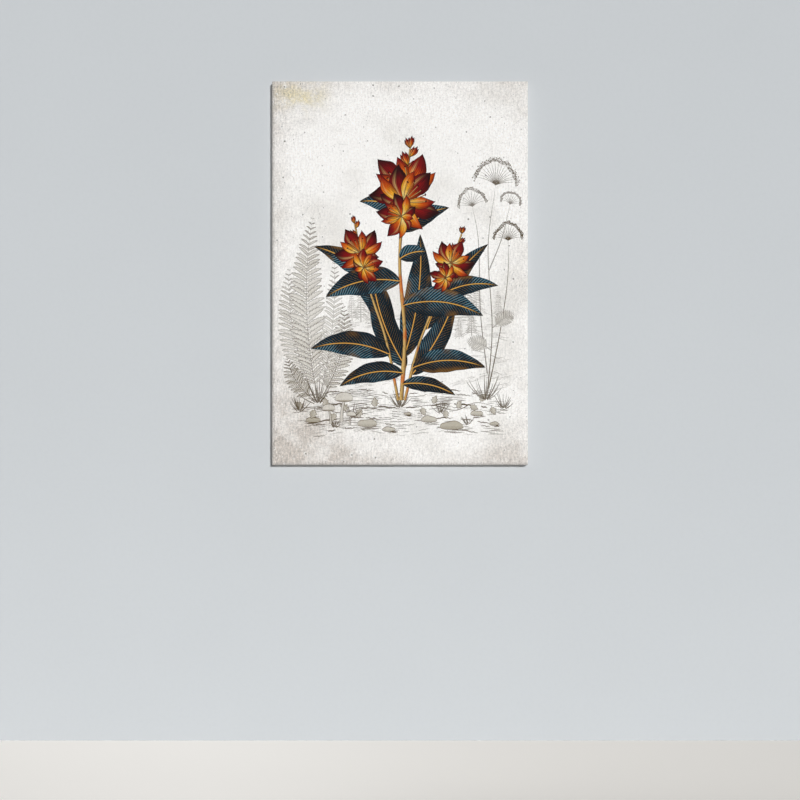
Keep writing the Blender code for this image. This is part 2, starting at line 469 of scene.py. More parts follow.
def makeCloth():
    made = bmesh.new()
    bmesh.ops.create_cube(made, size=1.0)
    bmesh.ops.scale(made, vec=(picture["width"], picture["depth"], picture["height"]), verts=made.verts)
    middle = (0, (picture["front"] + picture["back"]) / 2, picture["middle"])
    bmesh.ops.translate(made, vec=middle, verts=made.verts)
    back = max(made.faces, key=lambda face: face.calc_center_median().y)
    bmesh.ops.inset_individual(made, faces=[back], thickness=cloth["flap"])
    bmesh.ops.delete(made, geom=[back], context="FACES_ONLY")
    sharp = [edge for edge in made.edges if len(edge.link_faces) == 2 and edge.calc_face_angle() > 1.0]
    bmesh.ops.bevel(made, geom=sharp, offset=cloth["edgeRadius"], segments=4, profile=0.5, affect="EDGES")
    for axis, half, centre in (
        (Vector((1, 0, 0)), halfWide, 0.0),
        (Vector((0, 0, 1)), halfTall, picture["middle"]),
    ):
        count = ceil(2 * half / cloth["cell"])
        for step in range(1, count):
            place = axis * (centre - half + 2 * half * step / count)
            everything = made.verts[:] + made.edges[:] + made.faces[:]
            bmesh.ops.bisect_plane(made, geom=everything, plane_co=place, plane_no=axis, dist=1e-6)
    made = settled(made)
    flatMap = made.loops.layers.uv.new("clothMap")
    for face in made.faces:
        face.smooth = True
        centre = face.calc_center_median()
        for loop in face.loops:
            loop[flatMap].uv = unfolded(loop.vert.co, face.normal, centre)
    for vert in made.verts:
        vert.co += slack(vert.co)
    printed = newMaterial("printedCanvas", paintCloth, 0.72)
    obj = meshObject("printedCloth", made, printed, newMaterial("rawCanvasBack", paintRawCloth, 0.9))
    wall = obj.modifiers.new("wall", "SOLIDIFY")
    wall.thickness = cloth["thickness"]
    wall.offset = -1.0
    wall.material_offset = 1
    wall.material_offset_rim = 1
    return applied(obj), printed


staples = {
    "spacing": 0.052,
    "crown": 0.0115,
    "wire": 0.0006,
    "wireWidth": 0.0012,
    "fromEdge": 0.019,
    "fromCorner": 0.05,
    "above": 0.0001,  # over the flap
    "stray": 0.0025,
    "turn": 14.0,  # degrees
    "seed": 4,
}

canvasSheet, printedFinish = makeCloth()
print("cloth", len(canvasSheet.data.polygons), "faces")

# folded corners: a tuck on the top and bottom sides, and the mitred overlap on the back
fold = {"under": 0.0003, "over": 0.0008, "soften": 0.0006, "fromEdge": 0.0035, "reach": 0.033}


def addLayer(made, flatMap, corners, outward):
    # a thin flat layer of cloth on a surface, its upper edges softened
    centre = sum(corners, Vector()) / len(corners)
    rings = []
    for level, inset in ((-fold["under"], 0.0), (fold["over"] / 2, 0.0), (fold["over"], fold["soften"])):
        ring = [spot + (centre - spot).normalized() * inset + outward * level for spot in corners]
        rings.append([made.verts.new(spot) for spot in ring])
    faces = [made.faces.new(rings[0][::-1]), made.faces.new(rings[-1])]
    for below, above in zip(rings, rings[1:]):
        for index in range(len(corners)):
            after = (index + 1) % len(corners)
            faces.append(made.faces.new((below[index], below[after], above[after], above[index])))
    for face in faces:
        for loop in face.loops:
            loop[flatMap].uv = unfolded(loop.vert.co, outward, centre)


def makeFolds():
    made = bmesh.new()
    flatMap = made.loops.layers.uv.new("clothMap")
    back, inset, reach = picture["back"], fold["fromEdge"], fold["reach"]
    for side, end in ((-1, -1), (-1, 1), (1, -1), (1, 1)):
        z = picture["middle"] + end * halfTall
        nearX, farX = (side * (halfWide - part) for part in (inset, reach))
        rim = z - end * inset * 0.4
        tuck = ((nearX, picture["front"] + inset, z), (nearX, back - 0.001, z), (farX, back - 0.001, z))
        mitre = ((nearX, back, rim), (farX, back, z - end * reach), (farX, back, rim))
        for corners, outward in ((tuck, Vector((0, 0, end))), (mitre, Vector((0, 1, 0)))):
            a, b, c = (Vector(corner) for corner in corners)
            turn = (b - a).cross(c - a).dot(outward)
            addLayer(made, flatMap, [a, b, c] if turn > 0 else [c, b, a], outward)
    return meshObject("cornerFolds", made, printedFinish)




# wood, steel and rubber

pine = {
    "early": colour(226, 199, 150),
    "late": colour(190, 146, 90),
    "sap": colour(238, 218, 178),
    "knot": colour(96, 58, 34),
    "ring": 0.003,
    "knotSpacing": 0.33,
}
beech = {
    "pale": colour(205, 165, 126),
    "deep": colour(176, 130, 92),
    "fleck": colour(140, 96, 62),
    "ring": 0.0022,
    "knotSpacing": 9.0,
}
steel = {
    "bright": colour(198, 203, 208),
    "dull": colour(150, 154, 158),
    "warm": colour(190, 182, 150),
    "stain": colour(120, 108, 92),
}
rubber = {"clear": colour(232, 235, 236), "dust": colour(196, 190, 180)}


def buildGrain():
    # growth rings, fibres and knots in wood whose grain runs along the vector's first axis
    takes = {"Vector": "Vector", "Ring": 0.006, "Knot Spacing": 0.3}
    tree, takes, gives = newGroup("woodGrain", takes, {"Rings": "Float", "Fibre": "Float", "Knot": "Float"})
    spot, spacing = takes["Vector"], takes["Knot Spacing"]
    x, y, z = split(spot)
    # knots: one here and there along the board, which push the rings aside
    place = x / spacing
    cell = {"W": calc("FLOOR", place)}
    first, second, third = split(flow(tree, "ShaderNodeTexWhiteNoise", cell, "Color", noise_dimensions="1D"))
    fromX = (calc("FRACT", place) - fade(first, 0.0, 1.0, 0.2, 0.8)) * spacing
    fromZ = z - fade(second, 0.0, 1.0, -0.016, 0.016)
    away = calc("SQRT", fromX * fromX * 0.3 + fromZ * fromZ)
    size = fade(third, 0.25, 1.0, 0.0, 0.0068)
    push = fade(away, 0.032, 0.0, 0.0, size * 2.2)
    wander = noise(spot, 5.0, 3.0, stretch=(0.5, 1.0, 1.0))
    # the heart of the tree lies a little behind the board
    phase = calc("FRACT", (wander * 0.03 + distance(y + 0.018, z) + push) / takes["Ring"])
    feed(gives["Rings"], fade(phase, 0.3, 0.9) * fade(phase, 1.0, 0.94))
    feed(gives["Fibre"], noise(spot, 420.0, 2.0, 0.6, stretch=(0.035, 1.0, 1.0)))
    feed(gives["Knot"], fade(away, size, size * 0.45))
    return tree


woodGrain = buildGrain()


def boardGrain(tree, wood, box, upright):
    # coordinates from the board's own middle, with its length along the first axis, and the grain there
    spot = flow(tree, "ShaderNodeMapping", {"Vector": places(tree), "Location": -(box[0] + box[1]) / 2})
    if upright:
        x, y, z = split(spot)
        spot = join(z, y, x)
    inputs = {"Vector": spot, "Ring": wood["ring"], "Knot Spacing": wood["knotSpacing"]}
    return spot, useGroup(woodGrain, inputs)


def paintPine(tree, box):
    size = box[1] - box[0]
    spot, grain = boardGrain(tree, pine, box, size.z > size.x)
    broad = noise(spot, 4.0, 3.0, stretch=(0.4, 1.0, 1.0))
    shade = blend(fade(broad, 0.35, 0.65), pine["early"], pine["sap"])
    shade = blend(grain["Rings"] * 0.75, shade, pine["late"])
    shade = blend(fade(grain["Fibre"], 0.44, 0.66, 0.0, 0.5), shade, pine["late"])
    shade = blend(grain["Knot"] * 0.9, shade, pine["knot"])
    saw = noise(spot, 260.0, 1.0, stretch=(1.0, 1.0, 0.05))
    height = grain["Fibre"] * 0.7 + saw * 0.3
    roughness = fade(grain["Rings"], 0.0, 1.0, 0.68, 0.52)
    return {"colour": shade, "roughness": roughness, "height": height, "depth": 0.0002}


def paintBeech(tree, box):
    spot, grain = boardGrain(tree, beech, box, False)
    shade = blend(grain["Rings"] * 0.5, beech["pale"], beech["deep"])
    flecks = fade(noise(spot, 900.0, 1.0, stretch=(0.16, 1.0, 1.0)), 0.6, 0.7)
    shade = blend(flecks * 0.8, shade, beech["fleck"])
    return {"colour": shade, "height": grain["Fibre"] - flecks * 0.5, "depth": 0.0001}


def paintSteel(tree):
    spot = places(tree)
    brushed = noise(spot, 900.0, 2.0, 0.6, stretch=(0.04, 1.0, 1.0))
    patch = split(flow(tree, "ShaderNodeTexVoronoi", {"Vector": spot, "Scale": 420.0}, "Color"))[0]
    shade = blend(fade(patch, 0.0, 1.0, 0.0, 0.55), steel["bright"], steel["dull"])
    shade = blend(fade(noise(spot, 55.0, 3.0), 0.5, 0.68, 0.0, 0.5), shade, steel["warm"])
    stain = fade(noise(spot, 140.0, 4.0, 0.7), 0.62, 0.74, 0.0, 0.55)
    shade = blend(stain, shade, steel["stain"])
    roughness = fade(brushed, 0.3, 0.7, 0.26, 0.42) + stain * 0.3
    return {"colour": shade, "roughness": roughness, "height": brushed, "depth": 0.00004}


def paintRubber(tree):
    dust = fade(noise(places(tree), 380.0, 3.0, 0.6), 0.45, 0.75, 0.0, 0.7)
    shade = blend(dust, rubber["clear"], rubber["dust"])
    return {"colour": shade, "roughness": fade(dust, 0.0, 0.7, 0.22, 0.55), "height": dust, "depth": 0.00005}


def finishNodes():
    # the wood, steel and rubber parts keep their shapes and get their finishes
    zinc = newMaterial("zincSteel", paintSteel, 0.35, Metallic=1.0)
    clear = newMaterial("clearRubber", paintRubber, 0.3, **{"Transmission Weight": 0.55, "IOR": 1.5})
    for name, node in nodes.items():
        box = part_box(name)
        if name.startswith(("bar", "brace")):
            finish = newMaterial(name + "Pine", lambda tree: paintPine(tree, box), 0.6)
        elif name.startswith("key"):
            finish = newMaterial(name + "Beech", lambda tree: paintBeech(tree, box), 0.55)
        elif name.startswith("hanger"):
            finish = zinc
        elif name.startswith("bumper"):
            finish = clear
        else:
            continue
        for slot in node.material_slots:
            slot.material = finish


def stapleShape(tree, takes):
    # a straight wire whose ends are bent down
    half, end = takes["Crown"] / 2.0, takes["Crown"] * (2 / 3)
    wire = flow(tree, "GeometryNodeCurvePrimitiveLine", {"Start": join(-end), "End": join(end)})
    wire = flow(tree, "GeometryNodeResampleCurve", {"Curve": wire, "Count": 9})
    x, y, _ = split(flow(tree, "GeometryNodeInputPosition"))
    rise = takes["Wire"] / 2.0 - larger(abs(x) - half, 0.0)
    bent = join(smaller(larger(x, -half), half), y, rise)
    wire = flow(tree, "GeometryNodeSetPosition", {"Geometry": wire, "Position": bent})
    bend = {"Curve": wire, "Radius": takes["Wire"] * 1.2, "Count": 3}
    wire = flow(tree, "GeometryNodeFilletCurve", bend, mode="POLY")
    wire = flow(tree, "GeometryNodeSetCurveNormal", {"Curve": wire, "Normal": (0, 1, 0)}, mode="FREE")
    section = {"Width": takes["Wire Width"], "Height": takes["Wire"]}
    section = flow(tree, "GeometryNodeCurvePrimitiveQuadrilateral", section)
    staple = {"Curve": wire, "Profile Curve": section, "Fill Caps": True}
    return flow(tree, "GeometryNodeCurveToMesh", staple)


def buildStapling():
    # lays staples along lines on the back, each strayed and turned a little
    takes = dict.fromkeys(("Spacing", "Crown", "Wire", "Wire Width", "Turn", "Stray"), "Float")
    takes = {"Geometry": "Geometry", **takes, "Seed": "Int", "Finish": "Material"}
    gives = {"Geometry": "Geometry"}
    tree, takes, gives = newGroup("staplesAlongFlap", takes, gives, "GeometryNodeTree")

    # where they go, and which way the line runs there
    line = flow(tree, "GeometryNodeMeshToCurve", {"Mesh": takes["Geometry"]})
    line = {"Curve": line, "Length": takes["Spacing"]}
    line = flow(tree, "GeometryNodeResampleCurve", line, mode="LENGTH")
    kept = {"Geometry": line, "Name": "run", "Value": flow(tree, "GeometryNodeInputTangent")}
    kept = flow(tree, "GeometryNodeStoreNamedAttribute", kept, data_type="FLOAT_VECTOR", domain="POINT")
    run = flow(tree, "GeometryNodeInputNamedAttribute", {"Name": "run"}, data_type="FLOAT_VECTOR")
    least, most = -takes["Stray"], takes["Stray"]
    stray = {"Min": join(least, 0.0, least), "Max": join(most, 0.0, most), "Seed": takes["Seed"]}
    stray = flow(tree, "FunctionNodeRandomValue", stray, data_type="FLOAT_VECTOR")
    turn = {2: -takes["Turn"], 3: takes["Turn"], "Seed": takes["Seed"] + 1.0}
    turn = flow(tree, "FunctionNodeRandomValue", turn, 1, data_type="FLOAT")

    spots = flow(tree, "GeometryNodeSetPosition", {"Geometry": kept, "Offset": stray})
    face = {"Primary Axis": (0, 1, 0), "Secondary Axis": run}
    face = flow(tree, "FunctionNodeAxesToRotation", face, primary_axis="Z", secondary_axis="X")
    face = {"Rotation": face, "Rotate By": join(0.0, 0.0, turn)}
    face = flow(tree, "FunctionNodeRotateRotation", face, rotation_space="LOCAL")
    laid = {"Points": spots, "Instance": stapleShape(tree, takes), "Rotation": face}
    laid = flow(tree, "GeometryNodeInstanceOnPoints", laid)
    laid = flow(tree, "GeometryNodeRealizeInstances", {"Geometry": laid})
    laid = flow(tree, "GeometryNodeSetMaterial", {"Geometry": laid, "Material": takes["Finish"]})
    feed(gives["Geometry"], laid)
    return tree


def makeStaples():
    across, up = halfWide - staples["fromEdge"], halfTall - staples["fromEdge"]
    endX, endZ = halfWide - staples["fromCorner"], halfTall - staples["fromCorner"]
    spots = []
    for side in (-1, 1):
        for x, z in ((side * across, -endZ), (side * across, endZ), (-endX, side * up), (endX, side * up)):
            spots.append((x, picture["back"] + staples["above"], picture["middle"] + z))
    mesh = bpy.data.meshes.new("staples")
    mesh.from_pydata(spots, [(index, index + 1) for index in range(0, len(spots), 2)], [])
    obj = makeObject("staples", mesh)
    tree = buildStapling()
    laying = obj.modifiers.new("stapling", "NODES")
    laying.node_group = tree
    values = {
        "Spacing": staples["spacing"],
        "Crown": staples["crown"],
        "Wire": staples["wire"],
        "Wire Width": staples["wireWidth"],
        "Turn": radians(staples["turn"]),
        "Stray": staples["stray"],
        "Seed": staples["seed"],
        "Finish": newMaterial("stapleWire", paintSteel, 0.3, Metallic=1.0),
    }
    for item in tree.interface.items_tree:
        if item.in_out == "INPUT" and item.name in values:
            laying[item.identifier] = values[item.name]
    return applied(obj)


finishNodes()
cornerFolds = makeFolds()
stapleRows = makeStaples()
print("hardware", len(stapleRows.data.polygons), "staple faces")


# the printed design: a tall flowering plant over etched undergrowth, drawn as strokes on the picture's face

design = {"seed": 11, "root": (0.005, -0.505)}
chance = Random(design["seed"] + 1)
between = chance.uniform
strokes = []


def addStroke(kind, line, halves, tone):
    # halves gives the widths to the left and right of each point; later strokes lie over earlier ones
    strokes.append({"kind": kind, "line": line, "halves": halves, "tone": tone})


def etch(line, width, shape, tone):
    addStroke("etchedLines", line, shaped(line, width, shape), tone)


def evenly(steps):
    return [step / steps for step in range(steps + 1)]


def bow(start, end, bend, steps):
    # an arc from start to end that swings out by bend times its length
    start, end = Vector(start), Vector(end)
    chord = end - start
    middle = (start + end) / 2 + Vector((-chord.y, chord.x)) * bend
    return [start * (1 - t) ** 2 + middle * (2 * t * (1 - t)) + end * t * t for t in evenly(steps)]


def levelBow(centre, reach, bend, steps):
    centre, reach = Vector(centre), Vector((reach, 0))
    return bow(centre - reach, centre + reach, bend, steps)


def through(points, steps):
    # a smooth line through the points, with that many steps between each two
    points = [Vector(point) for point in points]
    points = [points[0] * 2 - points[1]] + points + [points[-1] * 2 - points[-2]]
    line = []
    for a, b, c, d in zip(points, points[1:], points[2:], points[3:]):
        square, cube = a * 2 - b * 5 + c * 4 - d, b * 3 - a - c * 3 + d
        line += [0.5 * (b * 2 + (c - a) * t + square * t * t + cube * t ** 3) for t in evenly(steps)[:-1]]
    return line + [points[-2]]


def shaped(line, width, shape, wave=0.0, phase=0.0, waves=5):
    # equal or slightly wavy widths on both sides, following shape(t)
    halves = []
    for t in evenly(len(line) - 1):
        left = 1 + wave * sin(2 * pi * waves * t + phase)
        right = 1 - 0.7 * wave * sin(2 * pi * (waves + 1) * t + phase * 2)
        halves.append((width * shape(t) * left, width * shape(t) * right))
    return halves


def leafShape(t):
    return max(sin(pi * min(t, 1.0) ** 0.78), 0.0) ** 0.85 * (1.0 - 0.12 * t)


def petalShape(t):
    return max(sin(pi * (0.05 + 0.95 * t) ** 1.35), 0.0) ** 0.9 * (1.0 - 0.5 * t ** 5)


def lineShape(t):
    return max(sin(pi * (0.12 + 0.86 * t)), 0.0) ** 0.6


def tipShape(t):
    return (1.0 - t) ** 0.55


def roundShape(t):
    return max(1.0 - (2 * t - 1) ** 2, 0.0) ** 0.5


def turned(direction, angle):
    x, y = direction
    return Vector((x * cos(angle) - y * sin(angle), x * sin(angle) + y * cos(angle)))


def heading(line, index):
    return (line[index + 1] - line[index - 1]).normalized()


def drawLeaf(base, tip, bend, width, tone):
    line = bow(base, tip, bend, 34)
    addStroke("printedLeaves", line, shaped(line, width, leafShape, 0.035, between(0, 6), 3), tone)


def drawPetal(base, direction, length, width, bend, tone):
    line = bow(base, Vector(base) + direction * length, bend, 22)
    addStroke("printedBlossoms", line, shaped(line, width, petalShape, 0.06, between(0, 6), 2), tone)


# petals of a blossom: angle, length, width, bend
broadPetals = (
    (128, 0.66, 0.2, 0.16), (-126, 0.7, 0.2, -0.16), (62, 1.0, 0.25, 0.14), (-60, 1.0, 0.25, -0.14),
    (2, 1.05, 0.27, 0.02),
)
narrowPetals = (
    (96, 0.92, 0.17, 0.24), (-94, 0.9, 0.17, -0.24), (33, 0.86, 0.17, 0.12), (-31, 0.84, 0.17, -0.12),
    (172, 0.5, 0.16, 0.1),
)


def drawBlossom(centre, size, lean):
    # broad petals behind, narrower ones over them, then stamens that end in dark anthers
    up = turned((0, 1), radians(lean))
    for petals, stray, tones in ((broadPetals, 7, (0.65, 1.25)), (narrowPetals, 8, (0.0, 0.45))):
        for angle, part, broad, bend in petals:
            direction = turned(up, radians(angle + between(-stray, stray)))
            drawPetal(centre, direction, size * part, size * broad, bend, between(*tones))
    for angle in (24, 9, -6, -21, 40, -38):
        tip = Vector(centre) + turned(up, radians(angle)) * size * between(0.5, 0.62)
        line = bow(centre, tip, 0.003 * angle, 8)
        addStroke("printedStems", line, shaped(line, size * 0.013, lambda t: 1.0), 0.0)
        across = turned(tip - line[-2], radians(62)).normalized() * size * 0.035
        anther = bow(tip - across, tip + across, 0.1, 6)
        addStroke("printedBlossoms", anther, shaped(anther, size * 0.022, roundShape), 1.6)


def drawBud(base, direction, length, tone):
    for angle, part in ((13, 0.86), (-12, 0.9), (0, 1.0)):
        side, bend = turned(direction, radians(angle)), between(-0.08, 0.08)
        drawPetal(base, side, length * part, length * 0.15, bend, tone * between(0.5, 1.0))


def drawStem(points, thick, thin):
    line = through(points, 12)
    halves = []
    for step in range(len(line)):
        width = thick + (thin - thick) * step / (len(line) - 1)
        width *= 1 + exp(-((step % 12) - 6) ** 2 / 1.2) * 0.22  # swollen joints
        halves.append((width, width))
    addStroke("printedStems", line, halves, 0.5)
    return line


def frondShape(t):
    return lineShape(t) * (0.62 + 0.38 * abs(sin(pi * 5.5 * t)))


def drawFern(base, tip, bend, reach, pairs, tone):
    spine = bow(base, tip, bend, pairs)
    etch(spine, 0.0016, tipShape, tone)
    for index in range(3, pairs):
        size = reach * max(sin(pi * (index / pairs) ** 0.75), 0.06) ** 0.8
        for side in (-1, 1):
            direction = turned(heading(spine, index), side * radians(between(52, 66)))
            line = bow(spine[index], spine[index] + direction * size, side * -0.12, 16)
            addStroke("etchedWash", line, shaped(line, size * 0.13, frondShape), tone * between(0.8, 1.1))


def drawUmbel(points, reach, rays, tone):
    stem = through(points, 10)
    etch(stem, 0.0021, tipShape, tone)
    top = stem[-1]
    up = (top - stem[-4]).normalized()
    for ray in range(rays):
        spread = (ray / (rays - 1) - 0.5) * 2
        direction = turned(up, -spread * radians(76))
        length = reach * (0.92 + 0.16 * chance.random()) * (1 - 0.18 * abs(spread))
        line = bow(top, top + direction * length, 0.16 * spread, 7)
        etch(line, 0.0012, tipShape, tone)
        for t in evenly(6):
            away = turned(direction, (t - 0.5) * radians(150)) * reach * 0.17 * between(0.7, 1.1)
            twig = [line[-1], line[-1] + away * 0.5, line[-1] + away]
            etch(twig, 0.0007, lineShape, tone)
            radius = between(0.0016, 0.003)
            etch(levelBow(twig[-1], radius, 0, 6), radius, roundShape, tone)
    return stem


def drawTuft(centre, count, height, tone):
    for part in evenly(count - 1):
        lean = (part - 0.5) * 1.5 + between(-0.2, 0.2)
        start = Vector(centre) + Vector((lean * height * 0.16, between(-0.004, 0.004)))
        tip = start + turned((0, 1), -lean) * height * between(0.55, 1.1)
        etch(bow(start, tip, -0.16 * lean, 8), between(0.0011, 0.0024), tipShape, tone * between(0.7, 1.0))


def drawContour(points, tone, width, rough):
    # a broken etched ground line
    line = through(points, 26)
    place = 0
    while place < len(line) - 4:
        run = chance.randint(3, 11)
        piece = line[place:place + run + 1]
        if len(piece) > 2:
            piece = [point + Vector((0, between(-rough, rough) * 0.35)) for point in piece]
            etch(piece, width * between(0.5, 1.5), lineShape, tone * between(0.7, 1.2))
        place += run + chance.randint(1, 6)


def drawHatch(centre, wide, tall, rows, slope, tone):
    # shading lines that lie along the ground
    for part in evenly(rows - 1):
        z = centre[1] + tall * (part - 0.5)
        for _ in range(2):
            length = wide * between(0.18, 0.55)
            x = centre[0] + between(-0.5, 0.5) * (wide - length)
            ends = [(end, z + slope * (end - centre[0])) for end in (x - length / 2, x + length / 2)]
            line = bow(*ends, between(-0.03, 0.03), 6)
            etch(line, between(0.0005, 0.0014), lineShape, tone * between(0.6, 1.1))


def drawStone(centre, wide, tall):
    tone = between(1.2, 1.7)
    line = levelBow(centre, wide, between(-0.06, 0.06), 18)
    halves = []
    for t in evenly(18):
        bump = 1 + 0.12 * sin(9 * t + centre[0] * 40)
        halves.append((tall * roundShape(t) * bump, tall * 0.6 * roundShape(t)))
    addStroke("etchedWash", line, halves, tone)
    drawHatch((centre[0] + wide * 0.3, centre[1] - tall * 0.75), wide * 2.2, tall * 0.5, 4, 0.02, tone)


def drawMushroom(foot, height, cap, lean):
    foot = Vector(foot)
    top = foot + Vector((lean, height))
    stalk = bow(foot, top, 0.08 if lean > 0 else -0.08, 10)
    addStroke("etchedWash", stalk, shaped(stalk, cap * 0.17, lambda t: 1.25 - 0.5 * t), 0.8)
    gills = [(cap * 0.05, cap * 0.22 * roundShape(t)) for t in evenly(14)]
    addStroke("etchedWash", levelBow(top, cap * 0.93, 0.02, 14), gills, 1.6)
    dome = [(cap * 0.86 * roundShape(t) ** 0.8, cap * 0.04) for t in evenly(22)]
    addStroke("etchedWash", levelBow(top, cap, 0.05, 22), dome, 0.9)


def ivyShape(t):
    return leafShape(t) * (1.0 + 0.25 * sin(7 * pi * t))


def drawIvy(points, size, tone):
    # a creeping runner with small toothed leaves on alternate sides
    line = through(points, 9)
    etch(line, 0.0013, lineShape, tone)
    for index in range(4, len(line) - 2, 5):
        side = 1 if (index // 5) % 2 else -1
        direction = turned(heading(line, index), side * radians(between(48, 80)))
        foot = line[index] + direction * size * 0.35
        etch(bow(line[index], foot, 0.1 * side, 4), 0.0008, lineShape, tone)
        blade = bow(foot - direction * size * 0.12, foot + direction * size, 0.06 * side, 16)
        addStroke("etchedWash", blade, shaped(blade, size * 0.42, ivyShape), tone)


def drawPine(foot, height, tone):
    # a distant tree: tiers of short drooping strokes beside a thin trunk
    foot = Vector(foot)
    trunk = bow(foot, foot + Vector((between(-0.03, 0.03) * height, height)), 0.02, 8)
    etch(trunk, height * 0.014, tipShape, tone)
    tiers = 13
    for tier in range(tiers):
        t = 0.14 + 0.84 * tier / tiers
        place = trunk[0].lerp(trunk[-1], t)
        reach = height * 0.27 * (1 - t) ** 0.8 * between(0.75, 1.15) + height * 0.02
        for side, drop in ((-1, 0.5), (-1, 0.15), (1, 0.5), (1, 0.15)):
            end = place + Vector((side * reach * between(0.7, 1.1), -drop * reach))
            width = height * between(0.006, 0.012)
            etch(bow(place, end, side * 0.14, 5), width, lineShape, tone * between(0.7, 1.1))


def drawDistance():
    # faint slopes and trees far behind
    for rise, tone in ((-0.17, 0.4), (-0.25, 0.48), (-0.33, 0.56), (-0.39, 0.66)):
        points = ((-0.42, -0.05), (-0.22, 0.0), (0.02, -0.035), (0.24, 0.03), (0.43, -0.02))
        drawContour([(x, rise + z) for x, z in points], tone, 0.0009, 0.0035)
    for x, z, height, tone in (
        (-0.19, -0.19, 0.115, 0.46), (-0.155, -0.195, 0.15, 0.52), (-0.118, -0.2, 0.1, 0.44),
        (-0.075, -0.205, 0.13, 0.48), (0.115, -0.195, 0.12, 0.46), (0.165, -0.185, 0.165, 0.54),
        (0.212, -0.17, 0.125, 0.48), (0.262, -0.16, 0.185, 0.56), (0.305, -0.16, 0.135, 0.46),
        (0.392, -0.175, 0.11, 0.42), (0.235, -0.262, 0.09, 0.6), (0.285, -0.25, 0.11, 0.64),
    ):
        drawPine((x, z), height, tone)
    for _ in range(34):
        spot = (between(-0.38, 0.4), between(-0.46, -0.17))
        drawHatch(spot, 0.12, 0.018, 5, between(-0.1, 0.3), 0.5)


def drawSoil():
    # the ground's lines, with stones and ivy
    for drop, tone in ((-0.475, 0.9), (-0.53, 1.0), (-0.585, 1.0), (-0.625, 0.7)):
        half = 0.43 - abs(drop + 0.53) * 0.9
        points = ((-1.0, -0.012), (-0.45, 0.012), (0.0, -0.006), (0.5, 0.01), (1.0, -0.016))
        points = [(half * x, drop + z) for x, z in points]
        drawContour(points, tone, 0.0021, 0.006)
        drawContour([(x, z - 0.013) for x, z in points], tone * 0.8, 0.0013, 0.006)
    for _ in range(46):
        spot = (between(-0.4, 0.4), between(-0.63, -0.47))
        drawHatch(spot, between(0.05, 0.13), 0.02, 4, between(-0.15, 0.15), 1.0)
    for x, z, wide, tall in (
        (-0.13, -0.6, 0.04, 0.02), (-0.045, -0.622, 0.027, 0.013), (0.115, -0.585, 0.033, 0.017),
        (0.205, -0.612, 0.048, 0.022), (0.305, -0.56, 0.026, 0.014), (-0.345, -0.585, 0.03, 0.015),
        (0.03, -0.56, 0.016, 0.008), (0.375, -0.6, 0.02, 0.01),
    ):
        drawStone((x, z), wide, tall)
    drawIvy([(-0.06, -0.545), (-0.15, -0.535), (-0.24, -0.555), (-0.32, -0.535), (-0.4, -0.55)], 0.034, 1.35)
    drawIvy([(0.05, -0.535), (0.13, -0.525), (0.22, -0.545), (0.3, -0.515), (0.38, -0.53)], 0.03, 1.35)


def drawUndergrowth():
    # umbels with two fern sprigs, ferns, tufts and mushrooms
    tallest = drawUmbel([(0.345, -0.5), (0.366, -0.22), (0.35, 0.1), (0.38, 0.35)], 0.092, 17, 0.85)
    drawUmbel([(0.352, -0.46), (0.4, -0.22), (0.428, -0.02), (0.43, 0.13)], 0.062, 13, 0.95)
    drawUmbel([(0.347, -0.4), (0.32, -0.16), (0.312, 0.12), (0.288, 0.265)], 0.064, 12, 0.75)
    drawUmbel([tallest[17], (0.405, 0.14), (0.438, 0.275)], 0.045, 10, 0.7)
    for base, tip, bend, reach, pairs, tone in (
        (tallest[10], (0.455, -0.16), 0.12, 0.038, 14, 0.6),
        (tallest[7], (0.265, -0.27), -0.15, 0.038, 14, 0.6),
        ((-0.335, -0.5), (-0.44, 0.03), 0.13, 0.066, 28, 0.7),
        ((-0.325, -0.5), (-0.345, 0.235), 0.1, 0.082, 36, 0.78),
        ((-0.315, -0.5), (-0.225, -0.12), -0.18, 0.058, 24, 0.88),
        ((-0.33, -0.51), (-0.45, -0.33), 0.22, 0.045, 17, 0.95),
        ((-0.322, -0.5), (-0.262, 0.075), -0.08, 0.05, 30, 0.62),
    ):
        drawFern(base, tip, bend, reach, pairs, tone)
    for x, z, count, height in (
        (-0.4, -0.545, 13, 0.075), (-0.325, -0.515, 17, 0.1), (-0.19, -0.57, 11, 0.055),
        (0.34, -0.5, 19, 0.105), (0.41, -0.535, 12, 0.065), (0.16, -0.555, 11, 0.05),
        (0.27, -0.6, 9, 0.04), (-0.26, -0.61, 9, 0.04), (0.0, -0.53, 25, 0.07),
    ):
        drawTuft((x, z), count, height, 1.0)
    drawMushroom((-0.232, -0.59), 0.085, 0.036, 0.01)
    drawMushroom((-0.275, -0.598), 0.055, 0.026, -0.008)
    drawMushroom((-0.2, -0.604), 0.038, 0.019, 0.006)


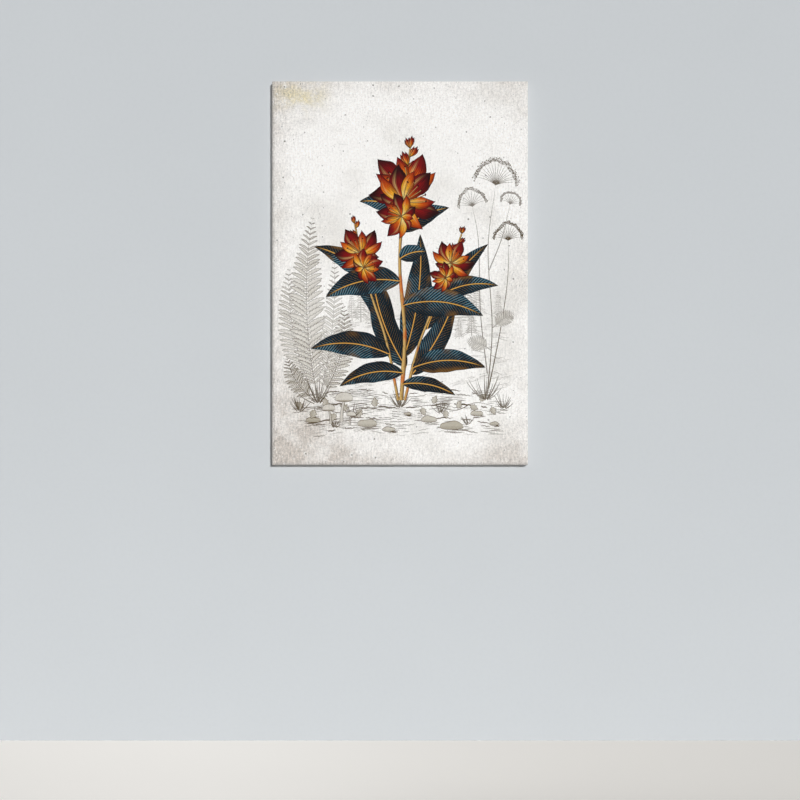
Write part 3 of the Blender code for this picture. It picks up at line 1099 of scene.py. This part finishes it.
def drawPlant():
    def fromRoot(x, z):
        return design["root"][0] + x, design["root"][1] + z

    # leaves that lie behind the stems
    for base, tip, bend, width, tone in (
        ((0.01, 0.17), (0.075, 0.66), -0.1, 0.06, 0.8),
        ((-0.04, 0.26), (-0.265, 0.6), -0.16, 0.052, 0.7),
        ((0.1, 0.28), (0.345, 0.62), 0.15, 0.052, 0.75),
        ((0.02, 0.13), (-0.115, 0.5), 0.12, 0.052, 0.9),
        ((0.04, 0.1), (0.215, 0.41), -0.1, 0.05, 0.95),
    ):
        drawLeaf(fromRoot(*base), fromRoot(*tip), bend, width, tone)
    left, right, main = (
        drawStem([fromRoot(*point) for point in points], thick, thin)
        for points, thick, thin in (
            (((-0.012, 0), (-0.06, 0.24), (-0.135, 0.47), (-0.185, 0.7)), 0.006, 0.0036),
            (((0.014, 0), (0.07, 0.22), (0.155, 0.43), (0.24, 0.66)), 0.0056, 0.0034),
            (((0, 0), (0.014, 0.26), (-0.006, 0.54), (0.01, 0.79), (0.036, 1.0)), 0.0085, 0.0044),
        )
    )
    # sheathing leaves in front, from the top down
    for base, tip, bend, width, tone in (
        (main[34], (-0.165, 0.79), -0.18, 0.038, 0.35),
        (main[30], (0.19, 0.765), 0.17, 0.042, 0.55),
        (left[25], (-0.345, 0.61), -0.17, 0.04, 0.45),
        (right[23], (0.385, 0.455), 0.21, 0.04, 0.5),
        (main[25], (0.1, 0.59), 0.2, 0.036, 0.25),
        (main[21], (-0.3, 0.41), -0.21, 0.06, 0.3),
        (main[17], (0.325, 0.335), 0.21, 0.062, 0.42),
        (left[9], (-0.36, 0.205), -0.21, 0.055, 0.62),
        (right[7], (0.335, 0.13), 0.2, 0.05, 0.7),
        (main[5], (-0.245, 0.055), -0.22, 0.043, 0.8),
        (main[3], (0.215, 0.02), 0.18, 0.032, 0.95),
    ):
        drawLeaf(base, fromRoot(*tip), bend, width, tone)
    # buds along the top of each stem, then the open blossoms
    budding = ((main, 38, 0.088, 0.75), (left, 29, 0.062, 0.6), (right, 28, 0.058, 0.85))
    for stem, first, size, tone in budding:
        for index in range(first, len(stem), 2):
            forward = (stem[index] - stem[index - 1]).normalized()
            direction = turned(forward, radians(30 if index % 4 < 2 else -30))
            shrink = 1.0 - 0.5 * (index - first) / (len(stem) - first)
            drawBud(stem[index], direction, size * shrink, tone)
        drawBud(stem[-1], (stem[-1] - stem[-3]).normalized(), size * 0.6, tone)
    for centre, size, lean in (
        (main[39], 0.15, 38), (main[36], 0.15, -52), (main[33] + Vector((-0.004, 0)), 0.098, 78),
        (left[30], 0.108, 30), (left[27], 0.078, -70), (right[30], 0.096, -34), (right[27], 0.066, 66),
    ):
        drawBlossom(centre, size, lean)


# from strokes to thin films of ink

film = {
    "lift": 0.00011,  # how far the ink stands proud of the cloth
    "depth": 0.00022,
    "leastHalf": 0.00025,  # of any stroke's width
    "leastTurn": 1e-10,  # thinner triangles are left out
    "merge": 1e-7,  # points nearer than this become one
    "straight": 2e-7,  # a point nearer than this to its neighbours' line is dropped
    "margin": 0.02,  # round the bake map
    "bakeSide": 0.0005,  # width of the sides in the bake map
}


def bladeRows(stroke):
    # the stroke's corners in rows across its line: place, side from -1 to 1, how far along, half width
    line = stroke["line"]
    rows = []
    for index, (spot, along) in enumerate(zip(line, evenly(len(line) - 1))):
        ahead = line[min(index + 1, len(line) - 1)] - line[max(index - 1, 0)]
        left = Vector((-ahead.y, ahead.x)).normalized()
        before, after = (max(half, film["leastHalf"]) for half in stroke["halves"][index])
        row = [(spot + left * before, -1.0, along, before), (spot - left * after, 1.0, along, after)]
        if stroke["kind"] != "etchedLines":
            row.insert(1, (spot, 0.0, along, max(before, after)))
        rows.append(row)
    return rows


def strokeTriangles():
    # every stroke as triangles, with what the ink finishes need to know at each corner
    spots, looks, triangles = [], [], []
    chance.seed(design["seed"])
    for stroke in strokes:
        seed = chance.random()
        length = sum((b - a).length for a, b in zip(stroke["line"], stroke["line"][1:]))
        first, rows = len(spots), bladeRows(stroke)
        wide = len(rows[0])
        for row in rows:
            for spot, side, along, half in row:
                spots.append(spot)
                looks.append((side, along, half, length, stroke["tone"], seed))
        for index in range(len(rows) - 1):
            for a in range(first + index * wide, first + index * wide + wide - 1):
                for corners in ((a, a + 1, a + wide + 1), (a, a + wide + 1, a + wide)):
                    p, q, r = (spots[corner] for corner in corners)
                    turn = (q - p).cross(r - p)
                    if abs(turn) > film["leastTurn"]:
                        triangles.append((corners if turn > 0 else corners[::-1], stroke["kind"]))
    return spots, looks, triangles


def sharesAt(spot, a, b, c):
    # how much each corner of a triangle counts at a spot
    whole = (b - a).cross(c - a)
    shareB = (spot - a).cross(c - a) / whole
    shareC = (b - a).cross(spot - a) / whole
    return 1 - shareB - shareC, shareB, shareC


def middleOf(face, flat):
    return sum((flat[corner] for corner in face), Vector((0, 0))) / len(face)


def topmost(middle, owners, spots, triangles):
    # the last stroke's triangle that truly holds the face's middle, if one does
    for owner in sorted(owners, reverse=True):
        if min(sharesAt(middle, *(spots[corner] for corner in triangles[owner][0]))) > -1e-4:
            return owner


def seenEdges(faces, tops):
    # the edges where what lies on top changes; past the outermost ones there is nothing
    beside = {}
    for face, owner in zip(faces, tops):
        for a, b in zip(face, face[1:] + face[:1]):
            beside.setdefault((min(a, b), max(a, b)), []).append(owner)
    return [edge for edge, owners in beside.items() if owners[0] != (owners + [None])[1]]


def straightened(edges, flat):
    # the same edges without the points that only split a straight run
    ends = {}
    for a, b in edges:
        ends.setdefault(a, set()).add(b)
        ends.setdefault(b, set()).add(a)
    for spot in list(ends):
        if len(ends[spot]) != 2:
            continue
        a, b = ends[spot]
        before, after = flat[spot] - flat[a], flat[b] - flat[spot]
        bend = abs(before.cross(after)) / max((flat[b] - flat[a]).length, 1e-9)
        if bend < film["straight"] and before.dot(after) > 0 and b not in ends[a]:
            for end, other in ((a, b), (b, a)):
                ends[end].remove(spot)
                ends[end].add(other)
            del ends[spot]
    numbers = {spot: index for index, spot in enumerate(ends)}
    pairs = {(min(numbers[a], numbers[b]), max(numbers[a], numbers[b])) for a in ends for b in ends[a]}
    return [flat[spot] for spot in ends], sorted(pairs)


def arranged(spots, triangles):
    # splits the drawing into faces that each show one stroke's triangle, and says which
    outlines = [corners for corners, _ in triangles]
    flat, _, faces, _, _, under = delaunay_2d_cdt(spots, [], outlines, 0, film["merge"], True)
    tops = [topmost(middleOf(face, flat), owners, spots, triangles) for face, owners in zip(faces, under)]
    lookup = BVHTree.FromPolygons([spot.to_3d() for spot in flat], faces)
    kept, edges = straightened(seenEdges(faces, tops), flat)
    flat, _, faces, _, _, _ = delaunay_2d_cdt(kept, edges, [], 0, film["merge"], False)
    owners = []
    for face in faces:
        found = lookup.ray_cast((*middleOf(face, flat), 1.0), (0, 0, -1))[2]
        owners.append(None if found is None else tops[found])
    return flat, faces, owners


def makeFilms(finishes):
    # gives each kind of ink one closed film that lies on the cloth
    spots, looks, triangles = strokeTriangles()
    flat, faces, owners = arranged(spots, triangles)
    films = []
    for kind, finish in finishes.items():
        made = bmesh.new()
        layers = [made.loops.layers.uv.new(name) for name in ("OFBake", "bladeMap", "bladeSize", "bladeTone")]
        corners = {}
        for face, owner in zip(faces, owners):
            if owner is None or triangles[owner][1] != kind:
                continue
            for corner in face:
                if corner not in corners:
                    corners[corner] = made.verts.new(flat[corner].to_3d())
            top = made.faces.new([corners[corner] for corner in face])
            holders = triangles[owner][0]
            for loop, corner in zip(top.loops, face):
                shares = sharesAt(flat[corner], *(spots[holder] for holder in holders))
                weighed = [[share * part for part in looks[holder]] for share, holder in zip(shares, holders)]
                found = [sum(parts) for parts in zip(*weighed)]
                for layer, pair in zip(layers[1:], (found[0:2], found[2:4], found[4:6])):
                    loop[layer].uv = pair
        # parts that touch only at a point come apart, so that the film can be closed
        for vert in made.verts[:]:
            bmesh.utils.vert_separate(vert, ())
        closeFilm(made, layers)
        films.append(meshObject(kind, made, finish))
        print(kind, len(films[-1].data.polygons), "faces")
    return films


def closeFilm(made, layers):
    # gives the flat film a back and sides, and stands it on the cloth's front
    tops = made.faces[:]
    rims = [edge.link_loops[0] for edge in made.edges if len(edge.link_faces) == 1]
    across, up = [vert.co.x for vert in made.verts], [vert.co.y for vert in made.verts]
    left, bottom = min(across), min(up)
    wide, tall = max(across) - left, max(up) - bottom
    margin, inner = film["margin"], 1 - 2 * film["margin"]
    backs = {vert: made.verts.new(vert.co - Vector((0, 0, film["depth"]))) for vert in made.verts[:]}

    def copyMaps(face, sources):
        for loop, source in zip(face.loops, sources):
            for layer in layers:
                loop[layer].uv = source[layer].uv

    for face in tops:
        for loop in face.loops:
            x, z, _ = loop.vert.co
            loop[layers[0]].uv = (margin + inner * (x - left) / wide, margin + inner * (z - bottom) / tall)
    for face in tops:
        loops = list(face.loops)[::-1]
        copyMaps(made.faces.new([backs[loop.vert] for loop in loops]), loops)
    for loop in rims:
        after = loop.link_loop_next
        wall = made.faces.new((after.vert, loop.vert, backs[loop.vert], backs[after.vert]))
        copyMaps(wall, (after, loop, loop, after))
        # in the bake map a side is a thin strip next to its edge
        run = (after.vert.co - loop.vert.co).normalized() * film["bakeSide"]
        for side in list(wall.loops)[2:]:
            side[layers[0]].uv = side[layers[0]].uv + Vector((run.y, -run.x))
    for vert in made.verts:
        x, z, behind = vert.co
        vert.co = (x, picture["front"] - film["lift"] - behind, picture["middle"] + z)


# the inks

ink = {
    "leafDark": colour(1, 6, 11),
    "leafMid": colour(20, 68, 90),
    "leafLight": colour(100, 150, 166),
    "leafWarm": colour(128, 88, 34),
    "rib": colour(222, 166, 78),
    "petalPale": colour(252, 232, 150),
    "petalGold": colour(240, 172, 44),
    "petalOrange": colour(214, 88, 12),
    "petalRed": colour(134, 12, 14),
    "petalDeep": colour(40, 4, 8),
    "stem": colour(208, 170, 104),
    "stemShade": colour(122, 92, 50),
    "etched": colour(82, 67, 43),
    "wash": colour(166, 156, 132),
    "veinGap": 0.0135,
    "wearSpots": 0.4,
}


def inkParts(tree):
    # what every ink finish starts from
    side, along, _ = split(uvMap(tree, "bladeMap"))
    half, length, _ = split(uvMap(tree, "bladeSize"))
    tone, seed, _ = split(uvMap(tree, "bladeTone"))
    x, _, z = split(places(tree))
    aside = abs(side)
    return SimpleNamespace(
        flat=join(x, z - picture["middle"]), side=side, aside=aside, along=along, tone=tone, seed=seed,
        run=along * length, across=aside * half, rim=(1.0 - aside) * half,
    )


def printedOn(blade, shade, cover=1.0):
    # lays the ink over the aged ground, whose wear shows through
    base = useGroup(agedGround, {"Vector": blade.flat})
    worn = fade(base["Wear"], 0.66, 0.85, 0.0, ink["wearSpots"])
    return onThreads(blade.flat, blend(cover * (1.0 - worn), base["Color"], shade))


def lines(value, gap, thick):
    # a mask of regular lines: 1 on each line, falling to 0 beside it
    return fade(calc("PINGPONG", value, gap / 2), thick, 0.0)


def paintLeaf(tree):
    blade = inkParts(tree)
    wander = noise(blade.flat, 26.0)
    sweep = blade.across * -1.15 + blade.run + wander * 0.01 + blade.seed * 0.3
    panel = calc("FLOORED_MODULO", sweep, ink["veinGap"]) / ink["veinGap"]
    # each strip between two veins runs from dark to pale like a feather's edge
    lit = fade(blade.side, 0.9, -0.9, 0.45, 1.05)
    broad = fade(noise(blade.flat, 9.0), 0.34, 0.62, 0.35, 1.2)
    light = (blade.tone * -0.7 + 1.25) * lit * broad
    shade = blend(fade(panel, 0.02, 0.75) * light, ink["leafDark"], ink["leafMid"])
    pale = fade(panel, 0.55, 0.92) * fade(light, 0.4, 0.95)
    shade = blend(calc("MULTIPLY", pale, 0.85, clamp=True), shade, ink["leafLight"])
    warm = fade(blade.aside, 0.45, 0.92) * fade(noise(blade.flat, 6.5, 2.0), 0.52, 0.64)
    shade = blend(warm * 0.75, shade, ink["leafWarm"])
    # fine engraved lines beside the veins, then the veins, the midrib and the outline
    etched = lines(blade.across * 0.8 + blade.run, 0.003, 0.0009)
    shade = blend(etched * fade(panel, 0.9, 0.2, 0.15, 0.75), shade, ink["leafDark"])
    vein = fade(panel, 0.92, 0.99) * fade(blade.aside, 0.98, 0.5, 0.1, 0.6)
    shade = blend(vein, shade, ink["rib"])
    shade = blend(fade(blade.across, 0.0052, 0.0022) * 0.8, shade, ink["leafDark"])
    rib = fade(blade.across, 0.0026, 0.0012) * fade(blade.along, 1.0, 0.75)
    shade = blend(rib, shade, ink["rib"])
    return printedOn(blade, blend(fade(blade.rim, 0.002, 0.0008), shade, ink["leafDark"]))


def paintPetal(tree):
    blade = inkParts(tree)
    streak = noise(join(blade.side * 5.0, blade.along * 1.6, blade.seed * 40.0), 2.2, 3.0, 0.7)
    # from pale at the heart to deep at the tip
    reach = streak * 0.55 + (blade.tone * 0.55 + blade.along) - 0.36
    shade = ink["petalPale"]
    for name, start, end in (
        ("petalGold", 0.05, 0.4), ("petalOrange", 0.38, 0.72),
        ("petalRed", 0.66, 1.0), ("petalDeep", 1.0, 1.45),
    ):
        shade = blend(fade(reach, start, end), shade, ink[name])
    fold = fade(blade.side, 0.15, 0.85) * fade(blade.along, 0.0, 0.5, 0.35, 0.75)
    shade = blend(fold, shade, ink["petalRed"], "MULTIPLY")
    sheen = fade(abs(blade.side + 0.45), 0.28, 0.0) * fade(blade.along, 0.95, 0.4)
    shade = blend(sheen * 0.35, shade, ink["petalPale"])
    shade = blend(lines(streak * 0.25 + blade.side, 0.19, 0.05) * 0.7, shade, ink["petalDeep"])
    return printedOn(blade, blend(fade(blade.rim, 0.0032, 0.0012, 0.0, 0.95), shade, ink["petalDeep"]))


def paintStem(tree):
    blade = inkParts(tree)
    shadow = fade(blade.side, -0.2, 0.9)
    speck = noise(blade.flat, 120.0, 2.0, stretch=(1.0, 0.35, 1.0))
    shade = blend(shadow, ink["stem"], ink["stemShade"])
    shade = blend(fade(speck, 0.55, 0.66, 0.0, 0.6), shade, ink["stemShade"])
    shade = blend(fade(noise(blade.flat, 8.0, 2.0), 0.5, 0.64, 0.0, 0.6), shade, ink["petalOrange"])
    ticks = lines(blade.across * 0.5 + blade.run, 0.0042, 0.0008)
    shade = blend(ticks * shadow, shade, ink["leafDark"])
    return printedOn(blade, blend(fade(blade.rim, 0.0014, 0.0006, 0.0, 0.8), shade, ink["leafDark"]))


def paintEtched(tree):
    blade = inkParts(tree)
    broken = fade(noise(blade.flat, 170.0, 2.0, 0.7), 0.28, 0.48, 0.62, 1.1)
    return printedOn(blade, ink["etched"], calc("MULTIPLY", blade.tone, broken, clamp=True))


def paintWash(tree):
    blade = inkParts(tree)
    x, z, _ = split(blade.flat)
    hatch = lines(z * 0.7 + x, 0.004, 0.0012) * fade(blade.side, -0.3, 0.8, 0.22, 0.9)
    dark = larger(hatch, fade(blade.rim, 0.0028, 0.0012))
    rib = fade(blade.across, 0.0012, 0.0004, 0.0, 0.5)
    cover = calc("MULTIPLY", blade.tone, fade(dark, 0.0, 1.0, 0.46, 1.15), clamp=True)
    return printedOn(blade, blend(larger(dark, rib), ink["wash"], ink["etched"]), cover)


inks = {
    kind: newMaterial(name, paint, roughness, **{"Specular IOR Level": shine})
    for kind, name, paint, roughness, shine in (
        ("etchedWash", "washInk", paintWash, 0.72, 0.5),
        ("etchedLines", "etchedInk", paintEtched, 0.72, 0.2),
        ("printedStems", "stemInk", paintStem, 0.68, 0.1),
        ("printedLeaves", "leafInk", paintLeaf, 0.62, 0.1),
        ("printedBlossoms", "blossomInk", paintPetal, 0.64, 0.1),
    )
}
drawDistance()
drawSoil()
drawUndergrowth()
chance.seed(design["seed"] + 2)
drawPlant()
print("design", len(strokes), "strokes")
films = makeFilms(inks)

# camera, stage and light

view = {
    "lens": 85.0,
    "sensor": 36.0,
    "share": 0.31963,  # of the square frame's width that the picture takes
    "rise": 0.1586,  # of the picture's middle above the frame's
    "farthest": 60.0,
}
room = {
    "floorDrop": 1.103,  # below the picture
    "size": 12.0,
    "wallHeight": 5.0,
    "wallPlace": 0.0002,
    "wallColour": colour(211, 215, 218),
    "floorColour": colour(226, 223, 218),
    "floorGlow": 0.42,
}
light = {
    "sky": (0.93, 0.97, 1.0, 1),
    "skyStrength": 0.12,
    "seenStrength": 0.95,
    "glossyShare": 0.5,  # of the seen colour in reflections
    # strength, angular size in degrees, direction it comes from
    "suns": {
        "keyLight": (2.5, 5.0, (tan(radians(15.0)), -1.0, tan(radians(13.5)))),
        # along the wall, so they reach the picture's sides and not its shadow
        "rightLight": (0.35, 3.0, (1.0, 0.0, 0.0)),
        "leftLight": (0.15, 3.0, (-1.0, 0.0, 0.0)),
    },
    "backStrength": 85,
    "backSize": 2.5,
    "backPlace": (-1.4, 3.0, picture["middle"] + 1.4),
}


def makeCamera():
    data = bpy.data.cameras.new("camera")
    data.lens = view["lens"]
    data.sensor_width = view["sensor"]
    data.clip_end = view["farthest"]
    seen = picture["width"] / view["share"]  # what the frame spans at the picture's face
    away = view["lens"] / view["sensor"] * seen
    obj = makeObject("camera", data)
    obj.location = (0, picture["front"] - away, picture["middle"] - view["rise"] * seen)
    obj.rotation_euler = (pi / 2, 0, 0)
    bpy.context.scene.camera = obj


def plainPaint(shade, freckle):
    def paint(tree):
        spot = places(tree)
        dim = (*(part * 0.96 for part in shade[:3]), 1.0)
        tone = blend(noise(spot, 1.2, 2.0), shade, dim)
        freckles = fade(noise(spot, 60.0), 0.4, 0.7, 0.0, freckle)
        return {"colour": blend(freckles, tone, (0.5, 0.5, 0.5, 1), "MULTIPLY")}

    return paint


def makePlane(name, start, end, finish):
    # a level or upright rectangle between two opposite corners
    mesh = bpy.data.meshes.new(name)
    corners = (start, (end[0], *start[1:]), end, (start[0], *end[1:]))
    mesh.from_pydata(corners, [], [(0, 1, 2, 3)])
    return makeObject(name, mesh, finish)


def makeStage():
    shade, half, level = room["floorColour"], room["size"] / 2, nearCorner.z - room["floorDrop"]
    finish = newMaterial("paleFloor", plainPaint(shade, 0.03), 0.6, **{"Emission Color": shade})
    tree = finish.node_tree
    glow = flow(tree, "ShaderNodeLightPath", out="Is Camera Ray") * room["floorGlow"]
    feed(tree.nodes["Principled BSDF"].inputs["Emission Strength"], glow)
    makePlane("floor", (-half, -half, level), (half, half, level), finish)

    # the wall is clear from behind, so that the picture's back can be seen
    paint = plainPaint(room["wallColour"], 0.02)
    finish = newMaterial("paleWall", paint, 0.85, **{"Specular IOR Level": 0.0})
    tree = finish.node_tree
    oneSided = flow(tree, "ShaderNodeMixShader", {
        0: flow(tree, "ShaderNodeNewGeometry", out="Backfacing"),
        1: Flow(tree.nodes["Principled BSDF"].outputs[0]),
        2: flow(tree, "ShaderNodeBsdfTransparent"),
    })
    feed(tree.nodes["Material Output"].inputs["Surface"], oneSided)
    place, top = room["wallPlace"], level + room["wallHeight"]
    wall = makePlane("backWall", (-half, place, level), (half, place, top), finish)
    wall.visible_shadow = False
    wall.visible_diffuse = False
    wall.visible_glossy = False


def addLight(name, kind, direction, **settings):
    # direction is the way that it shines
    data = bpy.data.lights.new(name, kind)
    for label, value in settings.items():
        setattr(data, label, value)
    obj = makeObject(name, data)
    obj.rotation_euler = Vector(direction).to_track_quat("-Z", "Y").to_euler()
    return obj


def makeLight():
    world = bpy.data.worlds.new("softRoom")
    bpy.context.scene.world = world
    world.use_nodes = True
    tree = world.node_tree
    base = tree.nodes["Background"]
    base.inputs[0].default_value = light["sky"]
    base.inputs[1].default_value = light["skyStrength"]
    path = flows(tree, "ShaderNodeLightPath")
    both = flow(tree, "ShaderNodeMixShader", {
        0: larger(path["Is Camera Ray"], path["Is Glossy Ray"] * light["glossyShare"]),
        1: Flow(base.outputs[0]),
        2: flow(tree, "ShaderNodeBackground", {0: room["wallColour"], 1: light["seenStrength"]}),
    })
    feed(tree.nodes["World Output"].inputs[0], both)
    for name, (strength, angle, source) in light["suns"].items():
        addLight(name, "SUN", -Vector(source), energy=strength, angle=radians(angle))
    place = Vector(light["backPlace"])
    toPicture = Vector((0, 0, picture["middle"])) - place
    back = addLight("backLight", "AREA", toPicture, energy=light["backStrength"], size=light["backSize"])
    back.location = place
    bpy.context.scene.view_settings.view_transform = "Standard"


makeCamera()
makeStage()
makeLight()
print("stage", len(bpy.data.lights), "lights")

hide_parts("canvas")
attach(canvasSheet, "root")
flatSize = [2 * (half + picture["depth"] + cloth["flap"]) for half in (halfWide, halfTall)]
for piece in [cornerFolds, *films]:
    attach(piece, "root")
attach(stapleRows, "root")
